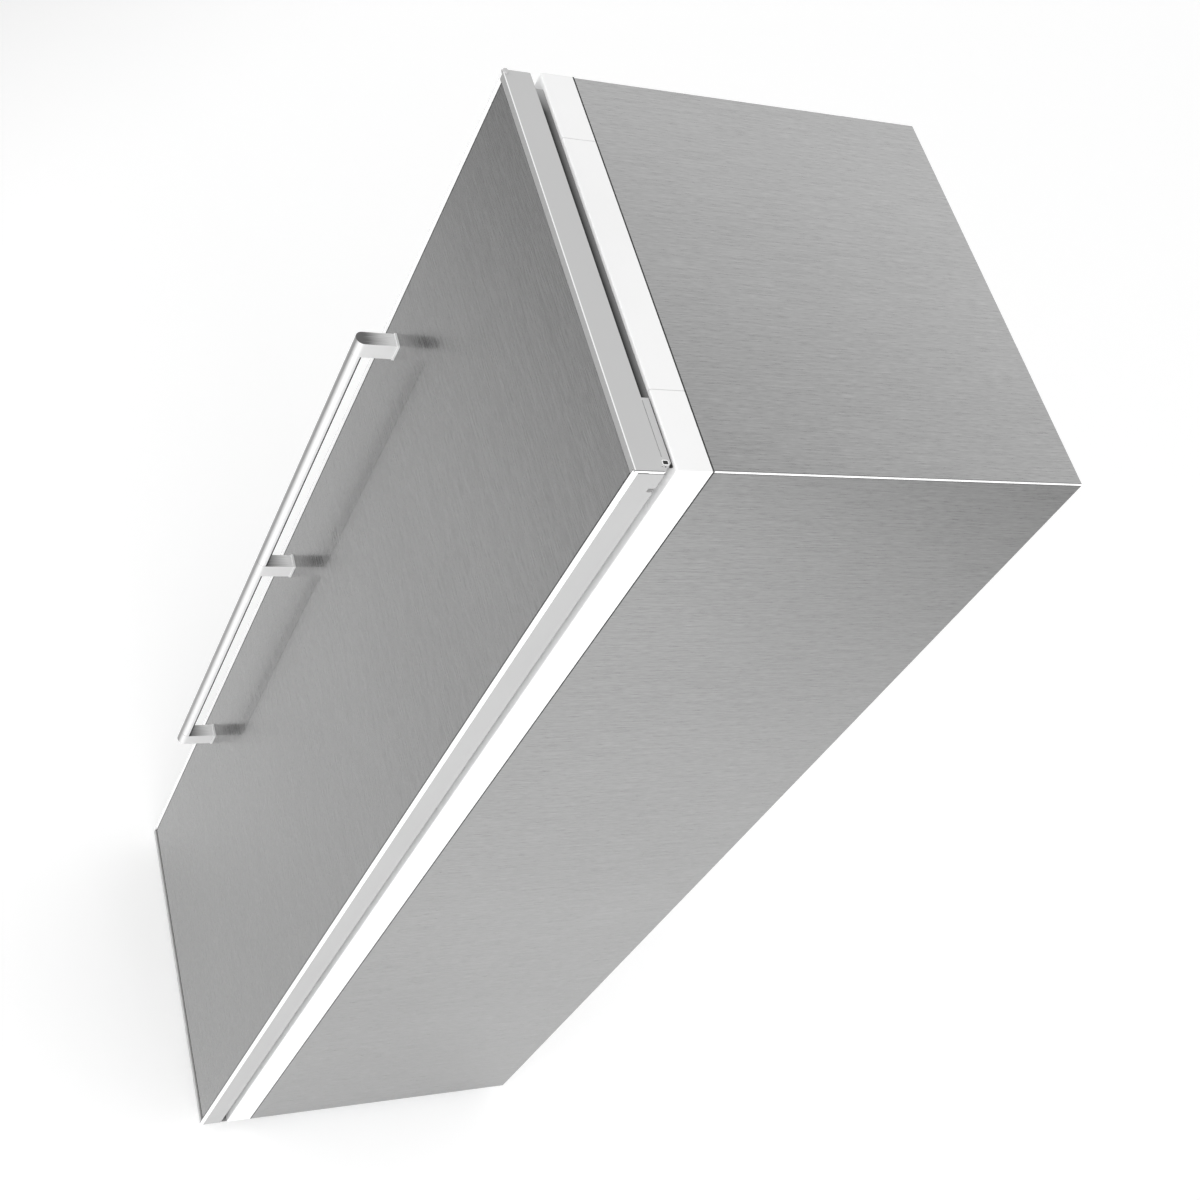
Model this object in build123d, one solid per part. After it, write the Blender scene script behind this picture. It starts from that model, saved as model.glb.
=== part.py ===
"""Tall free-standing refrigerator with one steel door, its works and its fittings.

X runs to the right seen from the front, Y to the back and Z up. The origin is on the floor, under
the middle of the whole object with its handle. Millimetres.
"""

from math import cos, pi, sin
import os

from build123d import *

# Outer sizes
WIDTH = 600
HEIGHT = 2000
FOOT_LIFT = 25
STEEL_DEPTH = 509
FRAME_DEPTH = 45
DOOR_GAP = 12
DOOR_THICK = 37.5
HANDLE_REACH = 60.5

# Planes that follow from them
HALF = WIDTH / 2
BASE = FOOT_LIFT
TOP = HEIGHT
BACK = (STEEL_DEPTH + FRAME_DEPTH + DOOR_GAP + DOOR_THICK + HANDLE_REACH) / 2
SEAM = BACK - STEEL_DEPTH
FRAME_FRONT = SEAM - FRAME_DEPTH
DOOR_BACK = FRAME_FRONT - DOOR_GAP
DOOR_FRONT = DOOR_BACK - DOOR_THICK
HANDLE_FRONT = DOOR_FRONT - HANDLE_REACH
DOOR_BOTTOM = BASE + 1
DOOR_TOP = TOP - 3

# Cabinet
SHEET = 1
FRONT_RETURN = 12
BACK_RETURN = 16
TOP_FOLD = 2.5
SEAM_GROOVE = 1.5
FRAME_WALL = 3
FRAME_ROUND = 2
CORNER_LONG = 110
CORNER_TALL = 70
JOINT_GAP = 0.4
CAVITY_HALF = 250
CAVITY_FLOOR = 100
CAVITY_TOP = TOP - CORNER_TALL
CAVITY_BACK = BACK - 70
LINER = 2
LINER_ROUND = 18
STEP_FRONT = 68
STEP_TOP = 345
NICHE_FRONT = 112
NICHE_TOP = 300
TRAY_TOP = BASE + 2
FOAM_BOTTOM = BASE + 30
COVER_TOP = 260

# Cooling works
INLET_X = (-254, -206)
INLET_Z = (78, 112)
DUCT_FRONT = 230
DUCT_ROUND = 5
FAN_HIGH = 1740

# Shelves
SHELF_HEIGHTS = [350, 660, 970, 1280, 1590]
GLASS = 4
SHELF_FRONT = -92
SHELF_BACK = 226
SHELF_HALF = 246
RIB = (8, 7)

# Door
STRIP_WIDE = 5.5
STRIP_DEEP = 5
CAP_LIP = 10
CAP_THICK = 3
LIP_THICK = 3
SIDE_TOP = DOOR_TOP - CAP_THICK - 0.6
GROOVE_TALL = 14
SIDE_WALL = 1.5
DOOR_SHEET = 1.2
DOOR_SKIN = 2
RIM_OUTER = 236
RIM_WIDE = 20
RIM_BACK = -192
RIM_LOW = 125
RIM_HIGH = 1912
RIM_ROUND = 5
HINGE_COVER_WIDE = 100
HINGE_COVER_END = 12
HINGE_COVER_TALL = 41
HINGE_COVER_DEEP = 9

# Hinge
PIN = (290, FRAME_FRONT - 16)
PIN_R = 4
RUNNING = 0.06
BUSH_R = 7
LEAF_R = 7
LEAF_LOW = 1962
LEAF_THICK = 4
DOOR_SWING = 110
BUSH_TOP = 1985.5
LOW_BUSH_TOP = 47
PIN_TOP = 1984
LOW_PIN_TOP = 44
PLATE_THICK = 2.6

# Handle
HANDLE_LEFT = -260.5
HANDLE_WIDE = 22
HANDLE_DEEP = 14
HANDLE_LOW = BASE + 453
HANDLE_LONG = 1081.5
HANDLE_ROUND = 10.9
POST_TALL = 27
FLANGE = 4
FLANGE_OVER = 1
BAR_CHAMFER = 0.35

# Door bins
BIN_HALF = RIM_OUTER - RIM_WIDE - 2
BIN_BACK = DOOR_BACK + 1.5
BIN_FRONT = -122
BIN_WALL = 2.5
BIN_ROUND = 8
LID_PIN = (-222, 1736)

# Feet and rollers
CORNER_X = 255
FOOT_Y = -150
ROLLER_Y = 285
ROLLER_R = 16
AXLE_R = 3

NODES = {}


def node(name, *pieces):
    """Keeps the pieces of one named sub-part for writing."""
    solids = [solid for piece in pieces for solid in piece.solids()]
    NODES[name] = Compound(children=solids) if len(solids) > 1 else solids[0]
    return NODES[name]


def block(x, y, z):
    """Box between two planes on each axis."""
    size = Box(x[1] - x[0], y[1] - y[0], z[1] - z[0])
    return Pos(sum(x) / 2, sum(y) / 2, sum(z) / 2) * size


def rod(axis, radius, at, span):
    """Round bar: at holds its two coordinates across the axis, span its two ends."""
    bar = Cylinder(radius, span[1] - span[0])
    middle = sum(span) / 2
    if axis == "x":
        return Pos(middle, at[0], at[1]) * Rot(0, 90, 0) * bar
    if axis == "y":
        return Pos(at[0], middle, at[1]) * Rot(90, 0, 0) * bar
    return Pos(at[0], at[1], middle) * bar


def tube(axis, outer, inner, at, span):
    """Round bar with a round hole right through."""
    return rod(axis, outer, at, span) - rod(axis, inner, at, (span[0] - 1, span[1] + 1))


def tub(x, y, z, wall):
    """Open-topped box."""
    inner = block((x[0] + wall, x[1] - wall), (y[0] + wall, y[1] - wall), (z[0] + wall, z[1] + 1))
    return block(x, y, z) - inner


def mirror_x(piece):
    return piece.mirror(Plane.YZ)


def edges_at(piece, axis, **planes):
    """Edges along an axis whose middle lies on the given coordinate planes."""
    found = piece.edges().filter_by(axis)
    for name, value in planes.items():
        found = [e for e in found if abs(getattr(e.center(), name.upper()) - value) < 0.01]
    return found


# ---------------------------------------------------------------- cabinet shell


def side_panel():
    """Right side sheet, and the returns that stiffen its front and back edges."""
    tall = (BASE, TOP - TOP_FOLD - 0.3)
    sheet = block((HALF - SHEET, HALF), (SEAM, BACK), tall)
    front = block((HALF - FRONT_RETURN, HALF - SHEET), (SEAM, SEAM + SHEET), tall)
    back = block((HALF - BACK_RETURN, HALF - SHEET), (BACK - 2 * SHEET, BACK - SHEET), tall)
    return [sheet, front, back]


def top_panel():
    """Top sheet with its long edges folded round."""
    slab = block((-HALF, HALF), (SEAM, BACK), (TOP - TOP_FOLD, TOP))
    slab = fillet(edges_at(slab, Axis.Y, z=TOP), TOP_FOLD - 0.1)
    under = block((3 - HALF, HALF - 3), (SEAM - 1, BACK + 1), (TOP - 3, TOP - SHEET))
    return slab - under


def base_tray():
    """Floor sheet with turned sides, two foot bushes and two pairs of roller ears."""
    half = HALF - SHEET - 0.5
    deep = (SEAM + 2, BACK - 3)
    tray = tub((-half, half), deep, (BASE, BASE + 20), 2)
    for side in (-1, 1):
        x = side * CORNER_X
        tray += rod("z", 10, (x, FOOT_Y), (TRAY_TOP, BASE + 26))
        tray -= rod("z", 5.05, (x, FOOT_Y), (0, BASE + 40))
        tray -= block((x - 8, x + 8), (ROLLER_Y - 20, ROLLER_Y + 20), (BASE - 1, BASE + 3))
        for end in (-1, 1):
            ear = block((x - 1, x + 1), (ROLLER_Y - 12, ROLLER_Y + 12), (8, TRAY_TOP))
            tray += Pos(end * 9, 0, 0) * ear
        tray -= rod("x", AXLE_R, (ROLLER_Y, ROLLER_R), (x - 20, x + 20))
    return tray


def front_frame_blank():
    """Whole front frame: a channel ring, open at the back, with a recessed edge at the seam."""
    ring = block((-HALF, HALF), (FRAME_FRONT, SEAM - SEAM_GROOVE), (BASE, TOP))
    ring = fillet(ring.faces().sort_by(Axis.Y)[0].edges(), FRAME_ROUND)
    inset = 2
    ring += block((inset - HALF, HALF - inset), (SEAM - 2, SEAM), (BASE + inset, TOP - inset))
    wall = FRAME_WALL
    hollow = block((wall - HALF, HALF - wall), (FRAME_FRONT + wall, SEAM + 1), (BASE + wall, TOP - wall))
    core = block(
        (-CAVITY_HALF - wall, CAVITY_HALF + wall),
        (FRAME_FRONT, SEAM + 1),
        (CAVITY_FLOOR - wall, CAVITY_TOP + wall),
    )
    opening = block(
        (-CAVITY_HALF, CAVITY_HALF), (FRAME_FRONT - 1, SEAM + 2), (CAVITY_FLOOR, CAVITY_TOP)
    )
    return ring - (hollow - core) - opening


def front_frame():
    """Splits the front frame into its rails and its two upper corner pieces."""
    blank = front_frame_blank()
    low = CAVITY_TOP - FRAME_WALL
    deep = (FRAME_FRONT - 1, SEAM + 1)
    inner = HALF - CORNER_LONG
    corner_zone = block((inner, HALF + 1), deep, (low, TOP + 1))
    gap_zone = block((inner - JOINT_GAP, HALF + 1), deep, (low - JOINT_GAP, TOP + 1))
    node("frame_corner_right", blank & corner_zone)
    node("frame_corner_left", mirror_x(blank & corner_zone))
    node("front_frame", blank - gap_zone - mirror_x(gap_zone))


def cavity(grow):
    """The cold space with its step over the compressor, grown by a wall thickness."""
    half = CAVITY_HALF + grow
    front = SEAM - 1 + (grow > 0)
    high = block((-half, half), (front, CAVITY_BACK + grow), (STEP_TOP - grow, CAVITY_TOP + grow))
    low = block((-half, half), (front, STEP_FRONT + grow), (CAVITY_FLOOR - grow, CAVITY_TOP + grow))
    space = high + low
    rims = edges_at(space, Axis.Z, y=CAVITY_BACK + grow) + edges_at(space, Axis.X, z=STEP_TOP - grow)
    return fillet(rims, LINER_ROUND + grow)


def inner_liner():
    """White shell of the cold space, with a moulded rib under each end of each shelf."""
    shell = cavity(LINER) - cavity(0)
    for height in SHELF_HEIGHTS[1:]:
        x = (CAVITY_HALF - RIB[0], CAVITY_HALF)
        rib = block(x, (SHELF_FRONT + 7, SHELF_BACK - 12), (height - RIB[1], height))
        shell += rib
        shell += mirror_x(rib)
    return shell


def insulation():
    """Foam slabs between the liner and the sheets, clear of the compressor's niche."""
    side = CAVITY_HALF + LINER
    front, back = SEAM + SHEET, BACK - 2 * SHEET
    high, riser = TOP - TOP_FOLD, STEP_FRONT + LINER
    slabs = []
    for sign in (-1, 1):
        x = sorted((sign * side, sign * (HALF - SHEET)))
        slabs.append(block(x, (front, back), (NICHE_TOP, high)))
        slabs.append(block(x, (front, NICHE_FRONT), (FOAM_BOTTOM, NICHE_TOP)))
    x = (-side, side)
    slabs.append(block(x, (front, back), (CAVITY_TOP + LINER, high)))
    slabs.append(block(x, (CAVITY_BACK + LINER, back), (STEP_TOP - LINER, CAVITY_TOP + LINER)))
    step = block(x, (riser, back), (NICHE_TOP, STEP_TOP - LINER))
    nose = edges_at(step, Axis.X, y=riser, z=STEP_TOP - LINER)
    slabs.append(fillet(nose, LINER_ROUND + LINER))
    slabs.append(block(x, (riser, NICHE_FRONT), (FOAM_BOTTOM, NICHE_TOP)))
    slabs.append(block(x, (front, riser), (FOAM_BOTTOM, CAVITY_FLOOR - LINER)))
    return slabs


def machine_cover():
    """Slotted sheet over the compressor's niche, open above it, with a hole for the inlet."""
    wide = HALF - SHEET - 0.2
    deep = (BACK - 5, BACK + 5)
    cover = block((-wide, wide), (BACK - SHEET, BACK), (BASE + 22, COVER_TOP))
    for row in range(8):
        low = 90 + 20 * row
        for x in (-90, 70, 180):
            cover -= block((x - 45, x + 45), deep, (low, low + 8))
    return cover - block(INLET_X, deep, INLET_Z)


def cabinet():
    right = side_panel()
    node("side_panel_right", *right)
    node("side_panel_left", *[mirror_x(piece) for piece in right])
    node("top_panel", top_panel())
    back_half = HALF - SHEET - 0.2
    node("back_panel", block((-back_half, back_half), (BACK - SHEET, BACK), (NICHE_TOP, TOP - 3.5)))
    node("base_tray", base_tray())
    front_frame()
    node("inner_liner", inner_liner())
    node("insulation_foam", *insulation())
    node("machine_cover", machine_cover())


# ---------------------------------------------------------------- cooling works


def fan_rotor(hub_r, tip_r, deep, blades, bore):
    """Axial fan about +Z from z=0: a bored hub with pitched blades."""
    rotor = rod("z", hub_r, (0, 0), (0, deep))
    length = tip_r - hub_r + 3
    for index in range(blades):
        blade = Rot(35, 0, 0) * Box(length, deep * 0.95, 1.6)
        turned = Rot(0, 0, 360 * index / blades) * Pos(hub_r + length / 2 - 2, 0, deep / 2)
        rotor += turned * blade
    rotor &= rod("z", tip_r, (0, 0), (0, deep))
    return rotor - rod("z", bore, (0, 0), (-1, deep + 1))


def fan_housing(size, hole_r, deep, motor_r, shaft_r, shaft_end):
    """Square fan frame about +Z with three struts that carry the motor and its shaft."""
    half = size / 2
    frame = block((-half, half), (-half, half), (0, deep)) - rod("z", hole_r, (0, 0), (-1, deep + 1))
    frame += rod("z", motor_r, (0, 0), (deep - 8, deep))
    frame += rod("z", shaft_r, (0, 0), (shaft_end, deep - 4))
    for index in range(3):
        strut = block((motor_r - 3, hole_r + 2), (-3, 3), (deep - 4, deep))
        frame += Rot(0, 0, 90 + 120 * index) * strut
    return frame


def condenser_coil():
    """Serpentine tube crossed by fine wires."""
    passes, pitch, low, high, y = 9, 20, 76, 250, 225
    points = []
    for index in range(passes):
        ends = (low, high) if index % 2 == 0 else (high, low)
        points += [(80 + pitch * index, y, end) for end in ends]
    path = FilletPolyline(*points, radius=pitch / 2 - 0.2)
    coil = sweep(Plane(path @ 0, z_dir=path % 0) * Circle(3), path)
    for row in range(7):
        for side in (-1, 1):
            coil += rod("x", 0.9, (y + side * 3.3, 95 + 22 * row), (70, 80 + pitch * (passes - 1) + 10))
    return coil


def compressor():
    """Welded dome with a base plate, a terminal box and two pipe stubs."""
    centre, y, low, high = -150, 222, 48, 200
    dome = rod("z", 68, (centre, y), (low, high))
    dome = fillet(dome.edges().sort_by(Axis.Z)[-1], 34)
    dome = fillet(dome.edges().sort_by(Axis.Z)[0], 18)
    dome += rod("z", 71, (centre, y), (120, 126))
    dome += block((centre - 80, centre + 80), (y - 55, y + 55), (low - 3, low + 1))
    dome += block((centre + 55, centre + 88), (y - 22, y + 22), (80, 116))
    dome += rod("x", 4, (y + 30, 150), (centre, centre + 95))
    dome += rod("x", 5, (y - 30, 90), (centre, centre + 95))
    for x in (-70, 70):
        for across in (-45, 45):
            dome -= rod("z", 4, (centre + x, y + across), (low - 5, low + 5))
    return dome


def mounts():
    """Four rubber mounts under the compressor's plate, each with its stud hole."""
    return [
        tube("z", 9, 4, (-150 + x, 222 + y), (TRAY_TOP, 45)) for x in (-70, 70) for y in (-45, 45)
    ]


def condenser_fan():
    """Fan that draws air through the coil and over the compressor."""
    place = Pos(28, 225, 112) * Rot(0, -90, 0)
    housing = fan_housing(124, 56, 26, 20, 2.5, 4)
    housing += block((-85, -60), (-30, 30), (4, 22))
    node("condenser_fan_housing", place * housing)
    node("condenser_fan", place * Pos(0, 0, 3) * fan_rotor(19, 53, 13, 7, 2.55))


def evaporator_fan():
    """Fan in the air duct that blows cold air over the shelves."""
    place = Pos(0, CAVITY_BACK - 4, FAN_HIGH) * Rot(90, 0, 0)
    node("evaporator_fan_housing", place * fan_housing(116, 50, 20, 18, 2, 2))
    node("evaporator_fan", place * Pos(0, 0, 1) * fan_rotor(16, 47, 10, 7, 2.05))


def air_duct_cover():
    """Cover over the evaporator: slotted face, top and sides, open below for the return air."""
    half, low, high, wall, front = 200, 400, 1860, 2.5, DUCT_FRONT
    cover = block((-half, half), (front, CAVITY_BACK), (low, high))
    cover = fillet(edges_at(cover, Axis.Z, y=front), DUCT_ROUND)
    cover -= block((wall - half, half - wall), (front + wall, CAVITY_BACK + 1), (low - 1, high - wall))
    through = (front - 1, front + wall + 1)
    for height in SHELF_HEIGHTS:
        for row in range(3):
            slot_low = height + 60 + 16 * row
            slot = block((90, 160), through, (slot_low, slot_low + 6))
            cover -= slot + mirror_x(slot)
    for row in range(-3, 4):
        reach = (42**2 - (12 * row) ** 2) ** 0.5
        middle = FAN_HIGH + 12 * row
        cover -= block((-reach, reach), through, (middle - 3, middle + 3))
    inner = half - DUCT_ROUND
    side = cover & block((inner, half), (front, CAVITY_BACK), (low, high))
    face = cover & block((-inner, inner), (front, front + wall), (low, high))
    top = cover & block((-inner, inner), (front + wall, CAVITY_BACK), (high - wall, high))
    return [face, top, side, mirror_x(side)]


def evaporator_plate():
    """Roll-bonded plate with a raised channel that winds up it."""
    plate = block((-170, 170), (252, 254), (760, 1560))
    for row in range(8):
        plate += rod("x", 4, (252, 800 + 100 * row), (-150, 150))
    return plate & block((-170, 170), (247, 254), (760, 1560))


def cooling():
    node("compressor", compressor())
    node("compressor_mounts", *mounts())
    node("condenser_coil", condenser_coil())
    condenser_fan()
    node("evaporation_tray", tub((62, 236), (150, 300), (TRAY_TOP, 62), 1.8))
    inlet = block(INLET_X, (BACK - 22, BACK), INLET_Z)
    inlet -= block((-244, -216), (BACK - 16, BACK + 1), (85, 105))
    for x in (-237, -230, -223):
        inlet += block((x - 1, x + 1), (BACK - 17, BACK - 4), (93, 98))
    node("mains_inlet", inlet)
    node("air_duct_cover", *air_duct_cover())
    node("evaporator_plate", evaporator_plate())
    evaporator_fan()


# ---------------------------------------------------------------- inside the cabinet


def shelves():
    """Glass shelves, each held by a front and a back trim with a slot for the pane."""
    trims = []
    for index, height in enumerate(SHELF_HEIGHTS, 1):
        span = (height, height + GLASS)
        pane = block((-SHELF_HALF, SHELF_HALF), (SHELF_FRONT, SHELF_BACK), span)
        node(f"shelf_glass_{index}", fillet(pane.edges().filter_by(Axis.Z), 6))
        for ends in ((SHELF_FRONT - 10, SHELF_FRONT + 6), (SHELF_BACK - 8, SHELF_BACK + 2)):
            trim = block((-SHELF_HALF - 1, SHELF_HALF + 1), ends, (height - 4, height + GLASS + 4))
            trim = fillet(trim.edges().filter_by(Axis.X), 2)
            trims.append(trim - block((-SHELF_HALF, SHELF_HALF), (SHELF_FRONT, SHELF_BACK), span))
    node("shelf_trims", *trims)


def control_housing():
    """Ceiling box with the knob's shaft on its front and a mouth for the lamp lens."""
    low = CAVITY_TOP - 42
    box = block((-130, 130), (-150, 70), (low, CAVITY_TOP))
    box = fillet(edges_at(box, Axis.X, z=low), 6)
    box -= block((-127, 127), (-147, 67), (low + 3, CAVITY_TOP + 1))
    box -= block((-60, 60), (-90, 20), (low - 1, low + 4))
    box += rod("y", 3, (80, CAVITY_TOP - 21), (-163, -146))
    node("control_housing", box)
    lens = block((-60, 60), (-90, 20), (low - 5, low + 3))
    lens = fillet(lens.faces().sort_by(Axis.Z)[0].edges(), 4)
    node("lamp_lens", lens)
    knob = rod("y", 14, (80, CAVITY_TOP - 21), (-166, -150.5))
    knob = fillet(knob.edges().sort_by(Axis.Y)[0], 2)
    for index in range(18):
        angle = 2 * pi * index / 18
        at = (80 + 14.3 * cos(angle), CAVITY_TOP - 21 + 14.3 * sin(angle))
        knob -= rod("y", 1, at, (-170, -152))
    knob += block((79, 81), (-167, -165.5), (CAVITY_TOP - 20, CAVITY_TOP - 9))
    node("thermostat_knob", knob - rod("y", 3.05, (80, CAVITY_TOP - 21), (-163.2, -150)))


# ---------------------------------------------------------------- hinges


def leaf(margin, low, high):
    """Upper hinge leaf from its plate to its pin, grown by a margin."""
    boss = Pos(*PIN) * Circle(LEAF_R + margin)
    plate_x = (262, 284)
    root = Pos(sum(plate_x) / 2, FRAME_FRONT - 2) * Rectangle(22 + 2 * margin, 4)
    outline = make_hull(boss.edges() + root.edges())
    return Pos(0, 0, low) * extrude(outline, high - low, dir=(0, 0, 1))


def leaf_pocket():
    """Space that the fixed leaf sweeps inside the door while the door swings."""
    pocket = None
    steps = 11
    for step in range(steps + 1):
        angle = -DOOR_SWING * step / steps
        turned = Pos(*PIN) * Rot(0, 0, angle) * Pos(-PIN[0], -PIN[1])
        cut = turned * leaf(1, LEAF_LOW - 1, LEAF_LOW + LEAF_THICK + 1.5)
        pocket = cut if pocket is None else pocket + cut
    return pocket


def screw_body():
    """Countersunk screw pointing down, its head flush with z=0, with no driver recess."""
    hang = (Align.CENTER, Align.CENTER, Align.MAX)
    return Cone(2.6, 5, 2.4, align=hang) + Cylinder(2.2, 16, align=hang)


def screw_recess():
    return Pos(0, 0, -0.4) * (Box(5, 0.9, 1) + Box(0.9, 5, 1))


def hinges():
    """Both brackets, with their pins and screws. Returns the plain screws, to cut their holes."""
    front = FRAME_FRONT - PLATE_THICK
    plate = block((208, 284), (front, FRAME_FRONT), (1958, 1992))
    ahead = block((0, HALF), (HANDLE_FRONT, FRAME_FRONT), (0, TOP))
    upper = plate + (leaf(0, LEAF_LOW, LEAF_LOW + LEAF_THICK) & ahead)
    lower = block((228, 298), (FRAME_FRONT - 1, -170), (BASE - 3, BASE))
    lower += block((272, 298), (PIN[1] - 8, FRAME_FRONT), (BASE - 3, BASE))
    lower = fillet(edges_at(lower, Axis.Z, y=PIN[1] - 8), 6)
    pins = [rod("z", PIN_R, PIN, (LEAF_LOW - 0.5, PIN_TOP))]
    pins.append(rod("z", PIN_R, PIN, (BASE - 3, LOW_PIN_TOP)))
    upper -= pins[0]
    lower -= pins[1]
    places = [Pos(x, front, 1982) * Rot(90, 0, 0) for x in (220, 245, 270)]
    places += [Pos(x, -192, BASE - 3) * Rot(180, 0, 0) for x in (240, 275)]
    screws = [place * screw_body() for place in places]
    for each in screws:
        upper -= each
        lower -= each
    node("hinge_bracket_top", upper)
    node("hinge_bracket_bottom", lower)
    node("hinge_pins", *pins)
    node("hinge_screws", *[place * (screw_body() - screw_recess()) for place in places])
    return screws


def drill(names, cutters):
    """Cuts the cutters' shapes out of the named sub-parts."""
    for name in names:
        shape = NODES[name]
        for cutter in cutters:
            shape = shape - cutter
        node(name, shape)


# ---------------------------------------------------------------- door


def hinge_cover_outline():
    """Plan of the thick hinge end of the top cap, its outer corner cut off."""
    right = HALF - HINGE_COVER_END
    back = DOOR_BACK + HINGE_COVER_DEEP
    return Polygon(
        (HALF - HINGE_COVER_WIDE, DOOR_BACK - 1),
        (HALF - HINGE_COVER_WIDE, back),
        (right, back),
        (HALF, DOOR_BACK - 1.5),
        (HALF, DOOR_BACK - 20),
        (right - 26, DOOR_BACK - 20),
        align=None,
    )


def door_top_cap(pocket):
    """Top plate with a front lip, a nib at its left corner and the hinge cover."""
    low = DOOR_TOP - CAP_THICK
    plate = block((-HALF, HALF), (DOOR_FRONT, DOOR_BACK), (low, DOOR_TOP))
    plate -= block((HALF - 1, HALF + 1), (DOOR_BACK - 1.5, DOOR_BACK + 1), (low - 1, TOP))
    lip_half = HALF - STRIP_WIDE
    lip_y = (DOOR_FRONT, DOOR_FRONT + LIP_THICK)
    lip = block((-lip_half, lip_half), lip_y, (DOOR_TOP - CAP_LIP, DOOR_TOP))
    cover_low = DOOR_TOP - HINGE_COVER_TALL
    cover = Pos(0, 0, cover_low) * extrude(hinge_cover_outline(), HINGE_COVER_TALL, dir=(0, 0, 1))
    side_room = ((HALF - SIDE_WALL, HALF + 1), (DOOR_FRONT, DOOR_BACK + HINGE_COVER_DEEP))
    cover -= block(*side_room, (cover_low - 1, SIDE_TOP))
    cap = plate + lip + cover
    nib_y = (DOOR_FRONT + 0.5, DOOR_FRONT + 6)
    nib = block((-HALF + 0.5, -HALF + 7), nib_y, (DOOR_TOP - 1, DOOR_TOP + 2.4))
    cap += fillet(nib.edges().filter_by(Axis.Z), 1.5)
    slot = block((284, 291), (DOOR_BACK - 0.5, DOOR_BACK + 4.5), (DOOR_TOP - 6, DOOR_TOP + 1))
    cap -= fillet(slot.edges().filter_by(Axis.Z), 1.2)
    cap -= rod("z", 0.8, (292.5, DOOR_BACK - 3), (DOOR_TOP - 4, DOOR_TOP + 1))
    cap -= block((203, 280), (DOOR_BACK - 0.4, DOOR_BACK + 0.4), (DOOR_TOP - 0.6, DOOR_TOP + 1))
    return cap - pocket - rod("z", BUSH_R, PIN, (LEAF_LOW, BUSH_TOP))


def door_bottom_cap():
    """Bottom plate with a front lip and a block that holds the lower bush."""
    half, thick = HALF - SIDE_WALL, (DOOR_BOTTOM, DOOR_BOTTOM + CAP_THICK)
    plate = block((-half, half), (DOOR_FRONT + STRIP_DEEP, DOOR_BACK), thick)
    half = HALF - STRIP_WIDE
    plate += block((-half, half), (DOOR_FRONT + 2, DOOR_FRONT + STRIP_DEEP), thick)
    lip_y = (DOOR_FRONT, DOOR_FRONT + LIP_THICK)
    lip = block((-half, half), lip_y, (DOOR_BOTTOM, DOOR_BOTTOM + CAP_LIP))
    lip = fillet(edges_at(lip, Axis.X, y=DOOR_FRONT), 1)
    holder_x = (HALF - 30, HALF - SIDE_WALL)
    holder = block(holder_x, (DOOR_BACK - 20, DOOR_BACK), (DOOR_BOTTOM, LOW_BUSH_TOP + 1))
    return plate + lip + holder - rod("z", BUSH_R, PIN, (0, LOW_BUSH_TOP))


def door_side():
    """Right edge of the door: a thin wall behind the bright strip."""
    deep = (DOOR_FRONT + STRIP_DEEP + 0.4, DOOR_BACK)
    return block((HALF - SIDE_WALL, HALF), deep, (DOOR_BOTTOM, SIDE_TOP))


def edge_strip():
    """Bright strip down the right front edge, rounded outwards."""
    deep = (DOOR_FRONT, DOOR_FRONT + STRIP_DEEP)
    strip = block((HALF - STRIP_WIDE, HALF), deep, (DOOR_BOTTOM, SIDE_TOP + 0.2))
    strip = fillet(edges_at(strip, Axis.Z, x=HALF, y=DOOR_FRONT), 3)
    return fillet(edges_at(strip, Axis.Z, x=HALF - STRIP_WIDE, y=DOOR_FRONT), 0.8)


def rim(shrink, front, back):
    """Raised rim on the inside of the door, its section shrunk by a wall thickness."""
    outer, inner = RIM_OUTER - shrink, RIM_OUTER - RIM_WIDE + shrink
    whole = block((-outer, outer), (front, back), (RIM_LOW + shrink, RIM_HIGH - shrink))
    low, high = RIM_LOW + RIM_WIDE - shrink, RIM_HIGH - RIM_WIDE + shrink
    return whole - block((-inner, inner), (front - 1, back + 1), (low, high))


def rails_and_stiles(ring):
    """Parts a rim into its bottom, top, left and right lengths."""
    low, high = RIM_LOW + RIM_WIDE, RIM_HIGH - RIM_WIDE
    deep = (DOOR_BACK - 2 * DOOR_SKIN, RIM_BACK + 1)
    zones = [
        block((-HALF, HALF), deep, (DOOR_BOTTOM, low)),
        block((-HALF, HALF), deep, (high, DOOR_TOP)),
        block((-HALF, 0), deep, (low, high)),
        block((0, HALF), deep, (low, high)),
    ]
    return [ring & zone for zone in zones]


def door_liner():
    """White inner skin: its margin and middle in one piece each, and its hollow raised rim."""
    half, front = HALF - SIDE_WALL, DOOR_BACK - DOOR_SKIN
    flat = block((-half, half), (front, DOOR_BACK), (DOOR_BOTTOM + 3, DOOR_TOP - 3))
    flat -= rim(0, front - 1, DOOR_BACK + 1)
    raised = rim(0, front, RIM_BACK)
    raised = fillet(raised.faces().sort_by(Axis.Y)[-1].outer_wire().edges(), RIM_ROUND)
    raised -= rim(DOOR_SKIN, front - 1, RIM_BACK - DOOR_SKIN)
    return flat, rails_and_stiles(raised)


def gasket():
    """Magnetic seal: a clipped foot, a thin neck and a magnet tube, all round the door."""
    low, high, outer = 52, DOOR_TOP - 46, 284

    def ring(inset, wide, deep):
        half = outer - inset
        whole = block((-half, half), deep, (low + inset, high - inset))
        hole = block((wide - half, half - wide), (-300, -200), (low + inset + wide, high - inset - wide))
        return whole - hole

    seal = ring(0, 16, (DOOR_BACK, DOOR_BACK + 3)) + ring(6, 5, (DOOR_BACK + 2, DOOR_BACK + 8))
    return seal + ring(1, 14, (DOOR_BACK + 6, FRAME_FRONT - 0.4))


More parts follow.
